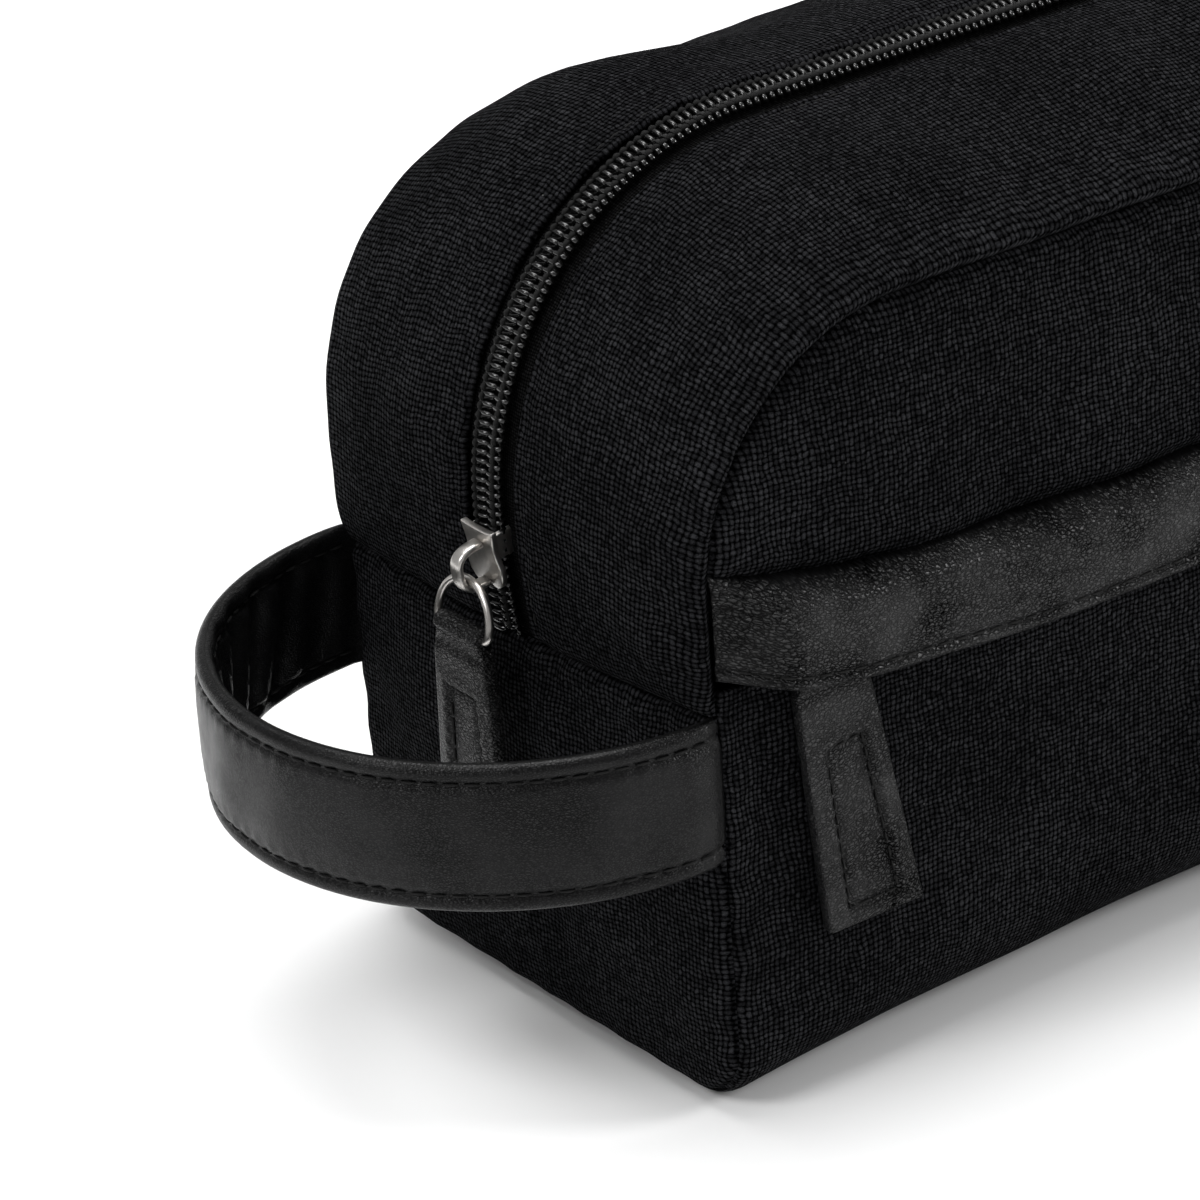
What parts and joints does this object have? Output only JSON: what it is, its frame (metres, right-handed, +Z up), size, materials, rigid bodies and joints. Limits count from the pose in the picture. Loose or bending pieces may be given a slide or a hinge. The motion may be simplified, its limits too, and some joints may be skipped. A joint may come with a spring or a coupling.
{
  "type": "shaving kit bag",
  "caption": "Boxy canvas shaving kit bag with a domed zipped top, a flat front pocket under a leather band, and a leather handle loop on one end.",
  "frame": {"origin": "middle of the flat base, on the surface that the bag stands on", "axes": "+X along the length, towards the end without the handle; -Y towards the front pocket; +Z up"},
  "size_m": [0.3093, 0.1081, 0.1444],
  "materials": {
    "canvas": "plain-woven black cotton canvas, matt",
    "leather": "black coated leather with a fine grain, satin",
    "zip_coil": "black nylon coil and moulded stops, glossy",
    "zip_tape": "black ribbed zip tape, matt",
    "lining": "dark woven lining, slightly shiny",
    "thread": "black polyester thread",
    "nickel": "brushed antique nickel"
  },
  "bodies": {
    "bag": {"band_stitching": "thread", "front_upper_panel": "canvas", "handle_back_tail": "leather", "handle_front_tail": "leather", "left_back_canvas": "canvas", "left_back_lining": "lining", "left_back_zip_coil": "zip_coil", "left_back_zip_tape": "zip_tape", "left_end_panel": "canvas", "left_front_canvas": "canvas", "left_front_lining": "lining", "left_front_zip_coil": "zip_coil", "left_front_zip_tape": "zip_tape", "lining_left_end": "lining", "lining_right_end": "lining", "lining_wrap": "lining", "main_wrap": "canvas", "main_zip_stop_left": "zip_coil", "main_zip_stop_right": "zip_coil", "pocket_bag": "lining", "pocket_zip_coil_lower": "zip_coil", "pocket_zip_coil_upper": "zip_coil", "pocket_zip_stop_left": "zip_coil", "pocket_zip_stop_right": "zip_coil", "pocket_zip_tape_lower": "zip_tape", "pocket_zip_tape_upper": "zip_tape", "right_back_canvas": "canvas", "right_back_lining": "lining", "right_back_zip_coil": "zip_coil", "right_back_zip_tape": "zip_tape", "right_end_panel": "canvas", "right_front_canvas": "canvas", "right_front_lining": "lining", "right_front_zip_coil": "zip_coil", "right_front_zip_tape": "zip_tape", "zip_flap_band": "leather", "zip_flap_fold": "leather"},
    "top_front_flap": {"top_front_canvas": "canvas", "top_front_lining": "lining", "top_front_zip_coil": "zip_coil", "top_front_zip_tape": "zip_tape"},
    "top_back_flap": {"top_back_canvas": "canvas", "top_back_lining": "lining", "top_back_zip_coil": "zip_coil", "top_back_zip_tape": "zip_tape"},
    "main_slider": {"main_slider_body": "nickel", "main_slider_crown": "nickel"},
    "main_ring": {"main_ring": "nickel"},
    "main_pull": {"main_pull_tab": "leather", "main_pull_stitching": "thread"},
    "pocket_slider": {"pocket_slider_body": "nickel", "pocket_slider_crown": "nickel"},
    "pocket_ring": {"pocket_ring": "nickel"},
    "pocket_pull": {"pocket_pull_tab": "leather", "pocket_pull_stitching": "thread"},
    "handle": {"handle_outer_leather": "leather", "handle_inner_leather": "leather", "handle_upper_stitching": "thread", "handle_lower_stitching": "thread"}
  },
  "joints": [
    {"name": "main_slider_travel", "type": "hinge", "parent": "bag", "child": "main_slider", "pos_m": [-0.0784, 0, 0.0915], "axis": [0, 1, 0], "range_deg": [0, 90]},
    {"name": "main_ring_swing", "type": "hinge", "parent": "main_slider", "child": "main_ring", "pos_m": [-0.1353, 0, 0.07998], "axis": [0, 1, 0], "range_deg": [0, 40]},
    {"name": "main_pull_swing", "type": "hinge", "parent": "main_ring", "child": "main_pull", "pos_m": [-0.13706, 0, 0.07167], "axis": [0, 1, 0], "range_deg": [0, 45]},
    {"name": "pocket_slider_travel", "type": "slide", "parent": "bag", "child": "pocket_slider", "axis": [1, 0, 0], "range_m": [0, 0.214]},
    {"name": "pocket_ring_swing", "type": "hinge", "parent": "pocket_slider", "child": "pocket_ring", "pos_m": [-0.107, -0.0527, 0.0795], "axis": [-0.9903, 0, -0.1392], "range_deg": [0, 5]},
    {"name": "pocket_pull_swing", "type": "hinge", "parent": "pocket_ring", "child": "pocket_pull", "pos_m": [-0.10625, -0.0527, 0.07415], "axis": [-0.9903, 0, -0.1392], "range_deg": [0, 16]},
    {"name": "handle_swing", "type": "hinge", "parent": "bag", "child": "handle", "pos_m": [-0.13, 0, 0.0575], "axis": [0, 1, 0], "range_deg": [-18, 18]},
    {"name": "top_front_flap_open", "type": "hinge", "parent": "bag", "child": "top_front_flap", "pos_m": [0, -0.0502, 0.1294], "axis": [1, 0, 0], "range_deg": [0, 80]},
    {"name": "top_back_flap_open", "type": "hinge", "parent": "bag", "child": "top_back_flap", "pos_m": [0, 0.0502, 0.1294], "axis": [-1, 0, 0], "range_deg": [0, 80]}
  ]
}
